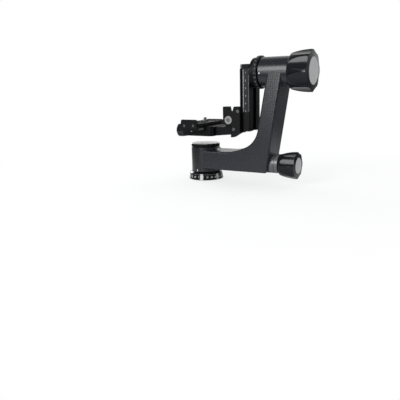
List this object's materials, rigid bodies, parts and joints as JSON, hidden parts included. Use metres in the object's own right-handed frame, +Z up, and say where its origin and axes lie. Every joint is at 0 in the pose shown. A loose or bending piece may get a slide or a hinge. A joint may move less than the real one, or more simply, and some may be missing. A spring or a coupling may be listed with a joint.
{
  "type": "gimbal tripod head",
  "caption": "Gimbal tripod head: pan base, L-shaped arm with tilt housing, swinging rail and height-adjustable quick release platform for a long lens, with lobed lock knobs.",
  "frame": {"origin": "centre of the base's contact face with the tripod, on the pan axis and at the mouth of the threaded hole", "axes": "+Z up along the pan axis, +X along the tilt axis from the pan axis towards the upright of the arm, +Y away from the subject, so the lens looks along -Y"},
  "size_m": [0.2477, 0.1029, 0.2109],
  "materials": {
    "carbon": "fine carbon weave under satin resin",
    "anodised_black": "black anodised",
    "scale_black": "black anodised with engraved scale",
    "knob_black": "glossy black anodised",
    "cap_grey": "satin grey",
    "satin_silver": "satin with turned lines",
    "brass": "machined",
    "machined_steel": "turned",
    "screw_steel": "black oxide",
    "polished_steel": "bright stainless",
    "bearing_steel": "ground",
    "brake_plastic": "plain",
    "washer_plastic": "plain",
    "rubber_pad": "fine ribs"
  },
  "bodies": {
    "base": {"pan_base": "anodised_black", "pan_scale_ring": "scale_black", "thread_insert": "brass", "spindle": "machined_steel", "base_screws": "screw_steel", "pan_lower_inner_ring": "bearing_steel", "pan_upper_inner_ring": "bearing_steel", "spindle_washer": "machined_steel", "spindle_nut": "machined_steel"},
    "arm": {"arm": "carbon", "tower_liner": "anodised_black", "pan_lower_outer_ring": "bearing_steel", "pan_upper_outer_ring": "bearing_steel", "tower_cap": "satin_silver", "lock_bush": "anodised_black", "tilt_liner": "anodised_black", "tilt_left_outer_ring": "bearing_steel", "tilt_right_outer_ring": "bearing_steel", "housing_end_ring": "anodised_black"},
    "pan_shoe": {"pan_brake_shoe": "brake_plastic"},
    "pan_knob": {"pan_knob": "knob_black", "pan_knob_cap": "cap_grey", "pan_lock_rod": "machined_steel"},
    "cradle": {"tilt_shaft": "anodised_black", "tilt_scale_ring": "scale_black", "tilt_left_inner_ring": "bearing_steel", "tilt_right_inner_ring": "bearing_steel", "rail": "anodised_black", "rail_screws": "screw_steel", "rail_top_stop": "anodised_black", "rail_bottom_stops": "screw_steel"},
    "tilt_brake": {"tilt_brake_disc": "brake_plastic"},
    "tilt_knob": {"tilt_knob": "knob_black", "tilt_knob_cap": "cap_grey", "tilt_knob_bush": "brass"},
    "carriage": {"carriage": "anodised_black", "front_jaw": "anodised_black", "front_jaw_screws": "screw_steel", "clamp_bolt": "polished_steel", "qr_stud": "machined_steel", "qr_guide_pins": "machined_steel", "clamp_stop_pin": "polished_steel"},
    "rear_jaw": {"rear_jaw": "anodised_black"},
    "height_knob": {"height_knob": "knob_black", "height_knob_cap": "cap_grey", "height_knob_bush": "brass"},
    "qr_jaw": {"qr_jaw": "anodised_black"},
    "qr_knob": {"qr_knob": "knob_black", "qr_knob_cap": "cap_grey", "qr_knob_bush": "brass"},
    "lens_plate": {"lens_plate": "anodised_black", "lens_flange": "anodised_black", "flange_screws": "screw_steel", "plate_pads": "rubber_pad"},
    "slot_washer": {"slot_washer": "washer_plastic"},
    "camera_screw": {"camera_screw": "polished_steel"}
  },
  "joints": [
    {"name": "pan", "type": "hinge", "parent": "base", "child": "arm", "pos_m": [0, 0, 0.0336], "axis": [0, 0, 1], "continuous": true},
    {"name": "pan_shoe_slide", "type": "slide", "parent": "arm", "child": "pan_shoe", "axis": [1, 0, 0], "range_m": [0, 0.001]},
    {"name": "pan_lock", "type": "hinge", "parent": "pan_shoe", "child": "pan_knob", "pos_m": [0.155, 0, 0.032], "axis": [1, 0, 0], "range_deg": [0, 360]},
    {"name": "tilt", "type": "hinge", "parent": "arm", "child": "cradle", "pos_m": [0.135, 0, 0.179], "axis": [1, 0, 0], "continuous": true},
    {"name": "tilt_brake_slide", "type": "slide", "parent": "cradle", "child": "tilt_brake", "axis": [1, 0, 0], "range_m": [0, 0.0015]},
    {"name": "tilt_lock", "type": "hinge", "parent": "tilt_brake", "child": "tilt_knob", "pos_m": [0.177, 0, 0.179], "axis": [1, 0, 0], "range_deg": [0, 360]},
    {"name": "height", "type": "slide", "parent": "cradle", "child": "carriage", "axis": [0, 0, 1], "range_m": [-0.004, 0.0588]},
    {"name": "height_jaw_slide", "type": "slide", "parent": "carriage", "child": "rear_jaw", "axis": [0, 1, 0], "range_m": [0, 0.00125]},
    {"name": "height_lock", "type": "hinge", "parent": "rear_jaw", "child": "height_knob", "pos_m": [0.0613, 0.039, 0.1048], "axis": [0, 1, 0], "range_deg": [0, 360]},
    {"name": "qr_jaw_slide", "type": "slide", "parent": "carriage", "child": "qr_jaw", "axis": [-1, 0, 0], "range_m": [0, 0.0025]},
    {"name": "qr_lock", "type": "hinge", "parent": "qr_jaw", "child": "qr_knob", "pos_m": [-0.042, 0, 0.0836], "axis": [-1, 0, 0], "range_deg": [0, 720]},
    {"name": "plate_slide", "type": "slide", "parent": "carriage", "child": "lens_plate", "axis": [0, 1, 0], "range_m": [-0.015, 0.018]},
    {"name": "washer_slide", "type": "slide", "parent": "lens_plate", "child": "slot_washer", "axis": [0, 1, 0], "range_m": [-0.012, 0.012]},
    {"name": "camera_screw_turn", "type": "hinge", "parent": "slot_washer", "child": "camera_screw", "pos_m": [0, 0, 0.095], "axis": [0, 0, 1], "continuous": true}
  ],
  "couplings": [
    {"joint": "pan_lock", "follows": "pan_shoe_slide", "rad_per_m": 6283.2},
    {"joint": "tilt_lock", "follows": "tilt_brake_slide", "rad_per_m": 4188.8},
    {"joint": "height_lock", "follows": "height_jaw_slide", "rad_per_m": 5026.5},
    {"joint": "qr_lock", "follows": "qr_jaw_slide", "rad_per_m": 5026.5}
  ]
}
